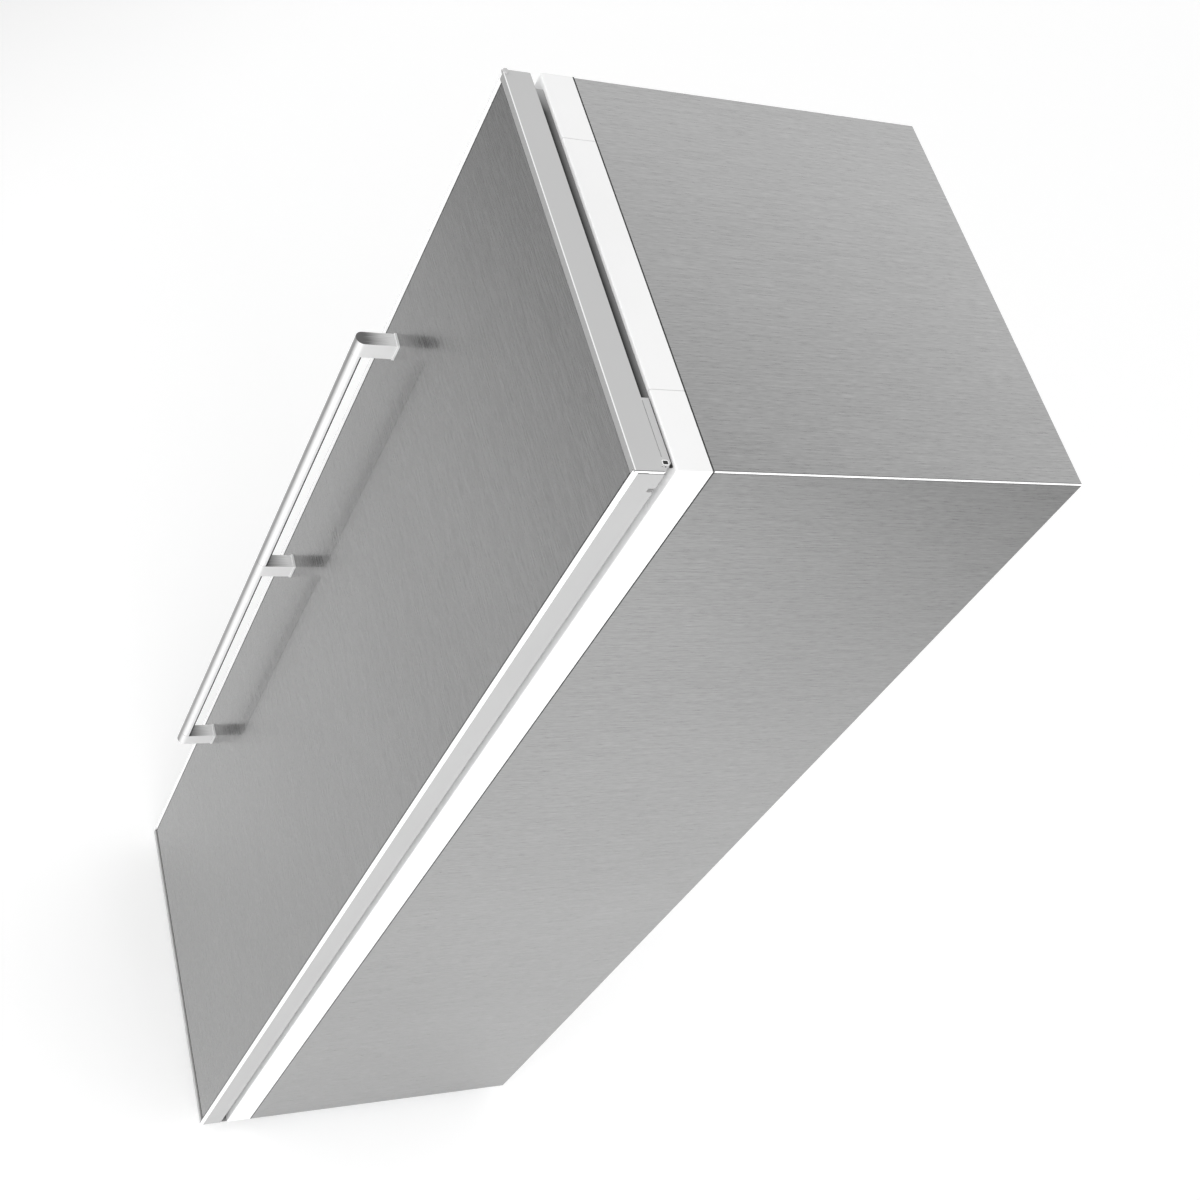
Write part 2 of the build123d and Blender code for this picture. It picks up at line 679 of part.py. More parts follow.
def door_shell(pocket):
    """Front sheet, strips, sides, caps, foam, liner and seal."""
    sheet_half = HALF - STRIP_WIDE - 0.3
    sheet_z = (DOOR_BOTTOM + CAP_LIP + GROOVE_TALL, DOOR_TOP - CAP_LIP - 0.5)
    sheet_y = (DOOR_FRONT, DOOR_FRONT + DOOR_SHEET)
    node("door_front_sheet", block((-sheet_half, sheet_half), sheet_y, sheet_z))
    node("door_edge_strips", edge_strip(), mirror_x(edge_strip()))
    node("door_side_right", door_side() - pocket)
    node("door_side_left", mirror_x(door_side()))
    node("door_top_cap", door_top_cap(pocket))
    node("door_bottom_cap", door_bottom_cap())
    strip_z = (DOOR_BOTTOM + CAP_LIP, DOOR_BOTTOM + CAP_LIP + GROOVE_TALL)
    node("door_bottom_strip", block((-sheet_half, sheet_half), (DOOR_FRONT + 3, DOOR_FRONT + 6), strip_z))
    lining, filling = DOOR_BACK - DOOR_SKIN, DOOR_FRONT + 6
    flat, raised = door_liner()
    foam = block((SIDE_WALL - HALF, HALF - SIDE_WALL), (filling, lining), (DOOR_BOTTOM + 3, DOOR_TOP - 3))
    foam += block((-sheet_half, sheet_half), (DOOR_FRONT + DOOR_SHEET, filling), sheet_z)
    taken = pocket + NODES["door_top_cap"] + NODES["door_bottom_cap"]
    taken += rod("z", BUSH_R, PIN, (LEAF_LOW, BUSH_TOP)) + rod("z", BUSH_R, PIN, (BASE, LOW_BUSH_TOP))
    node("door_liner", *(flat - taken).solids().sort_by(SortBy.VOLUME)[-2:], *raised)
    foam_rim = rails_and_stiles(rim(DOOR_SKIN, lining, RIM_BACK - DOOR_SKIN))
    node("door_foam", (foam - taken).solids().sort_by(SortBy.VOLUME)[-1], *foam_rim)
    node("door_gasket", gasket())
    bush_r = PIN_R + RUNNING
    upper = rod("z", BUSH_R, PIN, (LEAF_LOW + LEAF_THICK + 1.5, BUSH_TOP))
    upper -= rod("z", bush_r, PIN, (LEAF_LOW, BUSH_TOP - 1.2))
    lower = rod("z", BUSH_R, PIN, (DOOR_BOTTOM, LOW_BUSH_TOP))
    lower -= rod("z", bush_r, PIN, (BASE, LOW_BUSH_TOP - 2.5))
    node("hinge_bushes", upper, lower)


def handle():
    """Three full-depth posts, each on a thin flange, and the two lengths of bar between them."""
    x = (HANDLE_LEFT, HANDLE_LEFT + HANDLE_WIDE)
    high = HANDLE_LOW + HANDLE_LONG
    lows = (HANDLE_LOW, (HANDLE_LOW + high - POST_TALL) / 2, high - POST_TALL)
    posts = []
    for low in lows:
        post = block(x, (HANDLE_FRONT, DOOR_FRONT - FLANGE), (low, low + POST_TALL))
        post = fillet(edges_at(post, Axis.Z, y=HANDLE_FRONT), HANDLE_ROUND)
        wide = (x[0] - FLANGE_OVER, x[1] + FLANGE_OVER)
        tall = (low - FLANGE_OVER, low + POST_TALL + FLANGE_OVER)
        flange = block(wide, (DOOR_FRONT - FLANGE, DOOR_FRONT), tall)
        flange = fillet(flange.faces().sort_by(Axis.Y)[0].edges(), FLANGE_OVER * 0.8)
        posts.append(post + flange)
    node("handle_posts", *posts)
    bars = []
    for below, above in zip(lows, lows[1:]):
        bar = block(x, (HANDLE_FRONT, HANDLE_FRONT + HANDLE_DEEP), (below + POST_TALL, above))
        bar = fillet(edges_at(bar, Axis.Z, y=HANDLE_FRONT), HANDLE_ROUND)
        ends = bar.faces().filter_by(Axis.Z)
        bars.append(chamfer(ends[0].edges() + ends[-1].edges(), BAR_CHAMFER))
    node("handle_bar", *bars)


# ---------------------------------------------------------------- door fittings


def door_bin(low, tall):
    """Open bin hung between the sides of the rim, with rounded front corners."""
    outer = block((-BIN_HALF, BIN_HALF), (BIN_BACK, BIN_FRONT), (low, low + tall))
    outer = fillet(edges_at(outer, Axis.Z, y=BIN_FRONT), BIN_ROUND)
    half, front = BIN_HALF - BIN_WALL, BIN_FRONT - BIN_WALL
    inner = block((-half, half), (BIN_BACK + BIN_WALL, front), (low + BIN_WALL, low + tall + 1))
    return outer - fillet(edges_at(inner, Axis.Z, y=front), BIN_ROUND - BIN_WALL)


def dairy_compartment():
    """Bin with raised ends that carry the lid's pins, and its L-shaped lid."""
    low, tall = 1640, 60
    pin_y, pin_z = LID_PIN
    bin_ = door_bin(low, tall)
    wall = block((BIN_HALF - BIN_WALL, BIN_HALF), (BIN_BACK, pin_y + 14), (low + tall - 1, pin_z + 9))
    wall += rod("x", 3, LID_PIN, (BIN_HALF - 15, BIN_HALF - 2))
    node("dairy_bin", bin_ + wall + mirror_x(wall))
    edge, front, high = BIN_HALF - 7, BIN_FRONT + 6, pin_z + 4
    lid = block((-edge, edge), (pin_y - 4, front), (high - BIN_WALL, high))
    lid += block((-edge, edge), (front - BIN_WALL, front), (low + tall + 1, high))
    ear = block((edge - 6, edge), (pin_y - 6, pin_y + 6), (pin_z - 6, high))
    lid += ear + mirror_x(ear)
    lid = fillet(edges_at(lid, Axis.X, y=front, z=high), 2)
    node("dairy_lid", lid - rod("x", 3.06, LID_PIN, (-BIN_HALF, BIN_HALF)))


def bottle_fittings():
    """Deep bottle shelf and the sliding clip that steadies bottles on it."""
    low, tall = 165, 115
    node("bottle_shelf", door_bin(low, tall))
    high = low + tall
    clip_z = (high - 28, high + 3)
    clip = block((-16, 16), (BIN_FRONT - 5.5, BIN_FRONT + 3), clip_z)
    clip -= block((-20, 20), (BIN_FRONT - 2.8, BIN_FRONT + 0.3), (high - 40, high + 0.3))
    fin_back = BIN_FRONT - 70
    clip += block((-1.5, 1.5), (fin_back, BIN_FRONT - 4), clip_z)
    node("bottle_retainer", fillet(edges_at(clip, Axis.X, y=fin_back, z=high + 3), 8))


def fittings():
    node("door_bin_1", door_bin(1290, 85))
    node("door_bin_2", door_bin(930, 85))
    dairy_compartment()
    bottle_fittings()


# ---------------------------------------------------------------- feet and rollers


def foot():
    """Levelling foot: a pad, a hexagon for the spanner and a stud up into the tray's bush."""
    pad = rod("z", 19, (0, 0), (0, 9))
    pad = fillet(pad.edges().sort_by(Axis.Z)[-1], 3)
    pad = fillet(pad.edges().sort_by(Axis.Z)[0], 1)
    hexagon = Pos(0, 0, 9) * extrude(RegularPolygon(9, 6), 8)
    return pad + hexagon + rod("z", 5, (0, 0), (9, BASE + 25))


def roller():
    """Roller with a hollowed face on each side and a running bore."""
    wheel = rod("x", ROLLER_R, (0, 0), (-7, 7))
    wheel = fillet(wheel.edges(), 1.5)
    for side in (-1, 1):
        wheel -= Pos(side * 7, 0, 0) * (tube("x", 12, 6, (0, 0), (-2, 2)))
    return wheel - rod("x", AXLE_R + 0.06, (0, 0), (-8, 8))


def ground_gear():
    axles = []
    for name, side in (("left", -1), ("right", 1)):
        node(f"foot_{name}", Pos(side * CORNER_X, FOOT_Y, 0) * foot())
        node(f"roller_{name}", Pos(side * CORNER_X, ROLLER_Y, ROLLER_R) * roller())
        x = side * CORNER_X
        axles.append(rod("x", AXLE_R, (ROLLER_Y, ROLLER_R), (x - 12, x + 12)))
    node("roller_axles", *axles)


def main():
    cabinet()
    cooling()
    shelves()
    control_housing()
    screws = hinges()
    drill(("frame_corner_right", "front_frame", "base_tray"), screws)
    door_shell(leaf_pocket())
    handle()
    fittings()
    ground_gear()
    os.makedirs("parts", exist_ok=True)
    for name, shape in NODES.items():
        export_step(shape, f"parts/{name}.step")


main()
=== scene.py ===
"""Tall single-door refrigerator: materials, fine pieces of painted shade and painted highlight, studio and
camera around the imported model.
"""

import math

import bpy
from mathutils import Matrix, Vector


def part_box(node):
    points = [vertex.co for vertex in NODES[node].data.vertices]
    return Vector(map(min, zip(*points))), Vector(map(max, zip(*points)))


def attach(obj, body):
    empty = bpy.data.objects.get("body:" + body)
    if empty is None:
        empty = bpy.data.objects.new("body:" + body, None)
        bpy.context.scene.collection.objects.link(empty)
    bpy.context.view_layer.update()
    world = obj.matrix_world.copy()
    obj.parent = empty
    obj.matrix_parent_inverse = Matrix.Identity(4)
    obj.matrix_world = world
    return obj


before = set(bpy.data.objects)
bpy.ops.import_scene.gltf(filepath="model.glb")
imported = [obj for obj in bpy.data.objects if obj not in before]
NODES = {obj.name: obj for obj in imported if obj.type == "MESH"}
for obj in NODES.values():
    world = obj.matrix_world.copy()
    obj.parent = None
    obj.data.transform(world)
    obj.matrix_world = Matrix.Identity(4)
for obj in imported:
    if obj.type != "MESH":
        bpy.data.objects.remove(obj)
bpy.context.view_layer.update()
MM = 0.001


def grey(value):
    """Colour with the same red, green and blue."""
    return (value, value, value)


# ---------------------------------------------------------------- studio settings

FLOOR_HALF = 12.0
FLOOR_TONES = (grey(0.88), grey(0.55))
FLOOR_GLOW = 0.2
FLOOR_BRIGHT_HALF = 1.5
FLOOR_DIM_FROM = 3.6
HORIZON_LIGHT = 1.5
CEILING_LIGHT = 0.3
CEILING_FROM = 0.5
CEILING_TO = 0.85
LIGHTS = {"key": ((2.2, -2.2, 4.6), 45), "side_fill": ((4.0, -0.4, 2.2), 40)}
LIGHT_AIM = (0, 0, 1)
LIGHT_SIDE = 2.5

# ---------------------------------------------------------------- sizes shared with the frame

CABINET = "cabinet"
DOOR = "door"
CAP_OVER_SIDE = 3.6 * MM
DOOR_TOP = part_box("door_side_left")[1][2] + CAP_OVER_SIDE
DOOR_GAP = 12 * MM
HINGE_PIN_X = 290 * MM
HINGE_COVER_REACH = 90 * MM
SEAM_GROOVE = 1.5 * MM
GAP_SHADE_INSET = 24 * MM
SEAM_SHADE_PROUD = 0.08 * MM
SEAM_SHADE_DEEP = 1.9 * MM
SEAM_SHADE_OVERLAP = 0.5 * MM
LEFT_TRIM_WIDE = 6.5 * MM
LEFT_LINE_WIDE = 1.6 * MM
SHELVES = 5

# ---------------------------------------------------------------- steel tones

CABINET_TONES = (grey(0.28), grey(0.42))
DOOR_TONES = (grey(0.165), grey(0.262))

# ---------------------------------------------------------------- camera

CAMERA_PLACE = (1.3591, -1.2134, 3.3588)
CAMERA_TURN = (36.6965, -22.7315, 73.8567)
CAMERA_LENS = 56.562


def add_camera():
    """Camera at the reference viewing angle."""
    data = bpy.data.cameras.new("camera")
    data.lens = CAMERA_LENS
    data.sensor_width = 36
    data.clip_start = 0.01
    data.clip_end = 50
    camera = bpy.data.objects.new("camera", data)
    camera.location = CAMERA_PLACE
    camera.rotation_euler = [math.radians(a) for a in CAMERA_TURN]
    bpy.context.scene.collection.objects.link(camera)
    bpy.context.scene.camera = camera


# ---------------------------------------------------------------- material building blocks


class Paint:
    """A node material with short helpers for the node trees below."""

    def __init__(self, name, colour, roughness, metallic=0.0):
        self.material = bpy.data.materials.new(name)
        self.material.use_nodes = True
        self.tree = self.material.node_tree
        self.shader = self.tree.nodes["Principled BSDF"]
        self.shader.inputs["Base Color"].default_value = (*colour, 1)
        self.shader.inputs["Roughness"].default_value = roughness
        self.shader.inputs["Metallic"].default_value = metallic
        self.place = self.node("ShaderNodeTexCoord").outputs["Object"]

    def node(self, kind, **values):
        """New node of a kind, with its settings."""
        made = self.tree.nodes.new(kind)
        for key, value in values.items():
            setattr(made, key, value)
        return made

    def link(self, source, target):
        """Joins an output to an input."""
        self.tree.links.new(source, target)

    def noise(self, scale, detail=2.0, roughness=0.5):
        """Noise whose grain is scale cycles a metre along each axis."""
        mapping = self.node("ShaderNodeMapping")
        mapping.inputs["Scale"].default_value = scale if isinstance(scale, tuple) else (scale,) * 3
        self.link(self.place, mapping.inputs["Vector"])
        noise = self.node("ShaderNodeTexNoise")
        noise.inputs["Scale"].default_value = 1.0
        noise.inputs["Detail"].default_value = detail
        noise.inputs["Roughness"].default_value = roughness
        self.link(mapping.outputs["Vector"], noise.inputs["Vector"])
        return noise.outputs["Fac"]

    def spread(self, factor, low, high, start=0.3, end=0.7):
        """Maps a noise value to a range."""
        ramp = self.node("ShaderNodeMapRange")
        ramp.inputs["From Min"].default_value = start
        ramp.inputs["From Max"].default_value = end
        ramp.inputs["To Min"].default_value = low
        ramp.inputs["To Max"].default_value = high
        self.link(factor, ramp.inputs["Value"])
        return ramp.outputs["Result"]

    def mixed(self, factor, first, second):
        """Colour that goes from the first to the second, each a colour or a socket."""
        mix = self.node("ShaderNodeMix", data_type="RGBA")
        for name, colour in (("A", first), ("B", second)):
            if isinstance(colour, tuple):
                mix.inputs[name].default_value = (*colour, 1)
            else:
                self.link(colour, mix.inputs[name])
        self.link(factor, mix.inputs["Factor"])
        return mix.outputs["Result"]

    def tint(self, factor, dark, light):
        """Base colour between two colours by a noise value."""
        self.link(self.mixed(factor, dark, light), self.shader.inputs["Base Color"])

    def roughen(self, factor, low, high):
        """Roughness between two values by a noise value."""
        self.link(self.spread(factor, low, high), self.shader.inputs["Roughness"])

    def unmetal(self, mask, share):
        """Less metal where the mask is 1."""
        matt = self.math("SUBTRACT", 1.0, self.math("MULTIPLY", mask, share))
        self.link(matt, self.shader.inputs["Metallic"])

    def axis_of(self, source, axis):
        """One component of a vector."""
        split = self.node("ShaderNodeSeparateXYZ")
        self.link(source, split.inputs["Vector"])
        return split.outputs[axis.upper()]

    def at(self, axis):
        """Position along an axis, in metres."""
        return self.axis_of(self.place, axis)

    def facing(self, axis):
        """Surface normal along an axis, from -1 to 1."""
        return self.axis_of(self.node("ShaderNodeTexCoord").outputs["Normal"], axis)

    def math(self, operation, *values):
        """Result of a maths node on numbers or sockets."""
        made = self.node("ShaderNodeMath", operation=operation)
        for socket, value in zip(made.inputs, values):
            if isinstance(value, (int, float)):
                socket.default_value = value
            else:
                self.link(value, socket)
        return made.outputs["Value"]

    def size_of(self, value):
        """Value without its sign."""
        return self.math("ABSOLUTE", value)

    def both(self, *masks):
        """Mask that is 1 where all of the masks are."""
        product = masks[0]
        for mask in masks[1:]:
            product = self.math("MULTIPLY", product, mask)
        return product

    def from_to(self, value, start, end):
        """Mask that rises from 0 at start to 1 at end."""
        return self.spread(value, 0, 1, start, end)

    def near(self, value, target, reach):
        """Mask that is 1 within reach of a target value."""
        return self.math("COMPARE", value, target, reach)

    def repaint(self, mask, colour):
        """Another colour, or colour socket, where the mask is 1."""
        base = self.shader.inputs["Base Color"]
        self.link(self.mixed(mask, base.links[0].from_socket, colour), base)

    def bump(self, height, strength, distance):
        """Fine relief, at most distance metres deep."""
        bump = self.node("ShaderNodeBump")
        bump.inputs["Strength"].default_value = strength
        bump.inputs["Distance"].default_value = distance
        self.link(height, bump.inputs["Height"])
        self.link(bump.outputs["Normal"], self.shader.inputs["Normal"])

    def blend(self, first, second, share):
        """Mean of two values, weighted by the second's share."""
        mix = self.node("ShaderNodeMix", data_type="FLOAT")
        mix.inputs["Factor"].default_value = share
        self.link(first, mix.inputs["A"])
        self.link(second, mix.inputs["B"])
        return mix.outputs["Result"]


def grain(axis, along, across):
    """Noise scale that is slow along one axis and fast across it."""
    scale = [across] * 3
    scale["xyz".index(axis)] = along
    return tuple(scale)


def brushed(name, axis, dark, light, roughness, fine=900):
    """Brushed steel whose scratches run along an axis."""
    paint = Paint(name, light, roughness, metallic=1.0)
    long_marks = paint.noise(grain(axis, 12, fine * 0.5), detail=3, roughness=0.6)
    short_marks = paint.noise(grain(axis, 60, fine), detail=2, roughness=0.6)
    marks = paint.blend(long_marks, short_marks, 0.55)
    cloud = paint.noise(grain(axis, 1.2, 3.0), detail=2)
    tone = paint.blend(marks, cloud, 0.1)
    paint.tint(paint.spread(tone, 0, 1, 0.36, 0.64), dark, light)
    paint.roughen(marks, roughness - 0.06, roughness + 0.08)
    paint.bump(marks, 0.25, 0.04 * MM)
    return paint


def moulded(name, colour, roughness, coat=0.0):
    """Moulded plastic with a faint mottle and a fine satin texture."""
    paint = Paint(name, colour, roughness)
    mottle = paint.noise(6, detail=3)
    darker = tuple(c * 0.965 for c in colour)
    paint.tint(paint.spread(mottle, 0, 1), darker, colour)
    skin = paint.noise(700, detail=2)
    paint.roughen(skin, roughness - 0.04, roughness + 0.05)
    paint.bump(skin, 0.12, 0.03 * MM)
    paint.shader.inputs["Coat Weight"].default_value = coat
    return paint


def painted(name, colour, roughness, metallic=0.0):
    """Powder-coated or painted sheet with a slight orange peel."""
    paint = Paint(name, colour, roughness, metallic)
    peel = paint.noise(420, detail=2)
    cloud = paint.noise(4, detail=3)
    paint.tint(paint.spread(cloud, 0, 1), tuple(c * 0.95 for c in colour), colour)
    paint.roughen(peel, roughness - 0.05, roughness + 0.05)
    paint.bump(peel, 0.2, 0.05 * MM)
    return paint


def rubbery(name, colour):
    """Matt rubber with a dusty mottle."""
    paint = Paint(name, colour, 0.7)
    dust = paint.noise(60, detail=4)
    paint.tint(paint.spread(dust, 0, 1), colour, tuple(c * 1.25 + 0.004 for c in colour))
    skin = paint.noise(900, detail=2)
    paint.roughen(skin, 0.62, 0.8)
    paint.bump(skin, 0.3, 0.04 * MM)
    return paint


def clear(name, colour, roughness, ior):
    """Clear moulding or glass, faintly tinted."""
    paint = Paint(name, colour, roughness)
    wave = paint.noise(14, detail=2)
    paint.tint(paint.spread(wave, 0, 1), tuple(c * 0.97 for c in colour), colour)
    paint.shader.inputs["Transmission Weight"].default_value = 1.0
    paint.shader.inputs["IOR"].default_value = ior
    paint.roughen(wave, roughness, roughness + 0.03)
    return paint


def foamy(name):
    """Rigid foam with open cells."""
    paint = Paint(name, (0.82, 0.74, 0.5), 0.9)
    cells = paint.noise(300, detail=4)
    paint.tint(paint.spread(cells, 0, 1), (0.72, 0.62, 0.36), (0.86, 0.79, 0.55))
    paint.bump(cells, 0.6, 0.6 * MM)
    return paint


def top_sheet():
    """Brushed top whose folded edges carry a painted highlight between two painted dark lines of shade."""
    paint = brushed("top_steel", "y", *CABINET_TONES, 0.3)
    tilt = paint.facing("z")
    # painted shade: the whole rounded fold is painted dark
    shaded_fold = paint.both(paint.from_to(tilt, 0.02, 0.05), paint.from_to(tilt, 0.998, 0.99))
    paint.repaint(shaded_fold, grey(0.08))
    # painted highlight across the middle of the fold, leaving a painted dark line of shade on each side
    bright = paint.both(paint.from_to(tilt, 0.2, 0.3), paint.from_to(tilt, 0.96, 0.9))
    paint.repaint(bright, grey(0.95))
    paint.unmetal(shaded_fold, 0.7)
    return paint


def door_sheet():
    """Brushed front under a thin clear lacquer."""
    paint = brushed("door_steel", "x", *DOOR_TONES, 0.26)
    paint.shader.inputs["Coat Weight"].default_value = 0.35
    paint.shader.inputs["Coat Roughness"].default_value = 0.03
    return paint


def satin(name, axis):
    """Satin metal of the handle, with a painted highlight on both flanks and a greyer front, and the mask
    of that painted highlight.
    """
    paint = brushed(name, axis, grey(0.27), grey(0.36), 0.34, fine=1400)
    # painted highlight: faces that look sideways are painted near white and made less metal
    lit_flank = paint.from_to(paint.size_of(paint.facing("x")), 0.3, 0.8)
    paint.repaint(lit_flank, grey(0.88))
    paint.unmetal(lit_flank, 0.75)
    return paint, lit_flank


def bar_metal():
    """Handle bar, with a painted dark line of shade down each flank where its back is let in, and its back
    faces painted light as a painted highlight.
    """
    paint, lit_flank = satin("bar_steel", "z")
    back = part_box("handle_bar")[1][1]
    # painted shade: a dark line on both flanks by the let-in back
    let_in_shade = paint.from_to(paint.at("y"), back - 2.2 * MM, back - 1.7 * MM)
    paint.repaint(paint.both(lit_flank, let_in_shade), grey(0.015))
    # painted highlight: the back faces towards the door are painted light, so their reflection in the door
    # reads light
    lit_backs = paint.from_to(paint.facing("y"), 0.9, 0.95)
    paint.repaint(lit_backs, grey(0.85))
    return paint


def post_metal():
    """Handle posts, with painted shade on the cut ends, darker towards the front, and a painted highlight
    round their base by the door.
    """
    paint, _lit_flank = satin("post_steel", "y")
    front, back = (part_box("handle_posts")[end][1] for end in (0, 1))
    # painted shade on the cut ends (top and bottom faces): dark at the front, near white by the door, with
    # a streaky edge
    ends = paint.from_to(paint.size_of(paint.facing("z")), 0.8, 0.9)
    shade_streaks = paint.noise(grain("y", 20, 1400), detail=2)
    shade_place = paint.math("ADD", paint.at("y"), paint.spread(shade_streaks, -6 * MM, 6 * MM))
    shade_depth = paint.from_to(shade_place, front + 14 * MM, back - 10 * MM)
    paint.repaint(ends, paint.mixed(shade_depth, grey(0.12), grey(0.95)))
    metal = paint.shader.inputs["Metallic"]
    dull = paint.math("SUBTRACT", metal.links[0].from_socket, paint.math("MULTIPLY", ends, 0.75))
    paint.link(paint.math("MAXIMUM", dull, 0.15), metal)
    # painted highlight: a bright band round the base of each post by the door
    base_highlight = paint.from_to(paint.at("y"), back - 4.0 * MM, back - 3.9 * MM)
    paint.repaint(base_highlight, grey(0.9))
    return paint


def cap_paint():
    """Top cap: front lip greyer with painted shade, painted highlight on the front arris and on the right
    edge, that edge between painted dark lines of shade.
    """
    paint = painted("cap_grey", grey(0.5), 0.4)
    (_, front, _), (side, _, _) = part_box("door_top_cap")
    nib = paint.from_to(paint.at("z"), DOOR_TOP + 0.1 * MM, DOOR_TOP + 0.2 * MM)
    # painted shade: the front-facing lip is painted darker than the rest of the cap
    shaded_lip = paint.from_to(paint.facing("y"), -0.8, -0.95)
    paint.repaint(shaded_lip, grey(0.3))
    up = paint.from_to(paint.facing("z"), 0.8, 0.95)
    # painted highlight along the front arris of the top
    lit_arris = paint.from_to(paint.at("y"), front + 1.8 * MM, front + 1.3 * MM)
    paint.repaint(paint.both(up, lit_arris), grey(0.9))
    # painted shade: a dark line on the top by the right edge
    rim_shade = paint.from_to(paint.at("x"), side - 1.3 * MM, side - 1.0 * MM)
    paint.repaint(paint.both(up, rim_shade), grey(0.12))
    # painted highlight on the cap's side faces
    paint.repaint(paint.from_to(paint.size_of(paint.facing("x")), 0.8, 0.95), grey(0.9))
    paint.repaint(nib, grey(0.5))
    return paint


def side_paint():
    """Door side, with painted shade as a dark line along its very top under the cap."""
    paint = painted("side_grey", grey(0.4), 0.4)
    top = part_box("door_side_left")[1][2]
    # painted shade: a dark line along the top under the cap
    paint.repaint(paint.from_to(paint.at("z"), top - 1.3 * MM, top - 1.0 * MM), grey(0.1))
    return paint


def strip_paint():
    """Edge strip painted near white, the trim's own light grey brightened by painted highlight, with a
    painted dark line of shade beside the steel and painted shade on the outer corner at the left.
    """
    # near white: the trim's own light grey brightened by painted highlight
    paint = painted("edge_strip", grey(0.92), 0.25)
    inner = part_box("door_front_sheet")[1][0]
    # painted shade: a dark line by the steel on the right strip
    gap_shade_line = paint.from_to(paint.at("x"), inner + 2.1 * MM, inner + 1.8 * MM)
    right = paint.from_to(paint.at("x"), 0, MM)
    paint.repaint(paint.both(gap_shade_line, right), grey(0.03))
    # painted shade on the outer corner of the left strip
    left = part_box("door_edge_strips")[0][0]
    paint.repaint(paint.from_to(paint.at("x"), left + 2.4 * MM, left + 2.1 * MM), grey(0.25))
    return paint


def frame_paint():
    """White front frame with faint lines where the corner pieces meet it."""
    paint = moulded("frame_white", grey(0.87), 0.42)
    (inner, _, low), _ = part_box("frame_corner_right")
    on_top = paint.near(paint.size_of(paint.at("x")), inner, 0.6 * MM)
    on_side = paint.both(
        paint.near(paint.at("z"), low, 0.6 * MM),
        paint.from_to(paint.size_of(paint.facing("x")), 0.8, 0.9),
    )
    above = paint.from_to(paint.at("z"), low, low + MM)
    paint.repaint(paint.both(on_top, above), grey(0.72))
    paint.repaint(on_side, grey(0.72))
    return paint


def make_materials():
    """Every material, with the CAD nodes that carry it."""
    return {
        brushed("cabinet_steel", "y", *CABINET_TONES, 0.3): ("side_panel_left", "side_panel_right"),
        top_sheet(): ("top_panel",),
        door_sheet(): ("door_front_sheet",),
        bar_metal(): ("handle_bar",),
        post_metal(): ("handle_posts",),
        frame_paint(): ("front_frame", "frame_corner_left", "frame_corner_right"),
        cap_paint(): ("door_top_cap",),
        side_paint(): ("door_side_left", "door_side_right"),
        painted("light_grey_trim", grey(0.45), 0.4): ("door_bottom_cap",),
        strip_paint(): ("door_edge_strips",),
        moulded("liner_white", (0.87, 0.88, 0.88), 0.28, coat=0.2): (
            "inner_liner",
            "door_liner",
            "air_duct_cover",
            "control_housing",
        ),
        moulded("black_plastic", grey(0.03), 0.45): (
            "condenser_fan_housing",
            "condenser_fan",
            "evaporation_tray",
            "mains_inlet",
            "evaporator_fan_housing",
            "evaporator_fan",
            "thermostat_knob",
            "foot_left",
            "foot_right",
            "roller_left",
            "roller_right",
            "hinge_bushes",
        ),
        rubbery("seal_grey", grey(0.12)): ("door_gasket",),
        # door_bottom_strip is black as painted shade of the gap under the door's front sheet; the
        # compressor mounts are black rubber
        rubbery("black_rubber", grey(0.015)): ("door_bottom_strip", "compressor_mounts"),
        painted("works_black", grey(0.03), 0.35): ("compressor", "condenser_coil"),
        painted("zinc_sheet", (0.5, 0.51, 0.52), 0.38, 0.7): (
            "back_panel",
            "base_tray",
            "machine_cover",
        ),
        painted("bracket_steel", grey(0.45), 0.35, 0.8): (
            "hinge_bracket_top",
            "hinge_bracket_bottom",
            "hinge_pins",
            "hinge_screws",
            "roller_axles",
        ),
        painted("aluminium", grey(0.75), 0.35, 0.9): ("evaporator_plate", "shelf_trims"),
        clear("shelf_glass", (0.9, 0.97, 0.95), 0.02, 1.5): tuple(
            f"shelf_glass_{i}" for i in range(1, SHELVES + 1)
        ),
        clear("clear_plastic", (0.94, 0.96, 0.98), 0.06, 1.45): (
            "door_bin_1",
            "door_bin_2",
            "dairy_bin",
            "bottle_shelf",
            "dairy_lid",
            "bottle_retainer",
        ),
        moulded("lamp_white", (0.95, 0.95, 0.92), 0.35): ("lamp_lens",),
        foamy("foam"): ("insulation_foam", "door_foam"),
    }


def dress_nodes():
    """Gives every CAD node its material."""
    for paint, names in make_materials().items():
        for name in names:
            piece = NODES[name]
            piece.data.materials.clear()
            piece.data.materials.append(paint.material)


# ---------------------------------------------------------------- fine pieces of painted shade and painted highlight


def solid(name, points, faces, paint, body, bevel):
    """Closed mesh piece with slightly rounded edges, riding on a body."""
    mesh = bpy.data.meshes.new(name)
    mesh.from_pydata(points, [], faces)
    mesh.materials.append(paint.material)
    piece = bpy.data.objects.new(name, mesh)
    bpy.context.scene.collection.objects.link(piece)
    edge = piece.modifiers.new("rounding", "BEVEL")
    edge.width = bevel
    edge.segments = 2
    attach(piece, body)
    return piece


def plate(name, outline, low, high, paint, body, bevel):
    """Flat piece with that plan, going anticlockwise seen from above."""
    count = len(outline)
    points = [(*xy, z) for z in (low, high) for xy in outline]
    sides = [(i, (i + 1) % count, count + (i + 1) % count, count + i) for i in range(count)]
    ends = [tuple(reversed(range(count))), tuple(range(count, 2 * count))]
    return solid(name, points, sides + ends, paint, body, bevel)


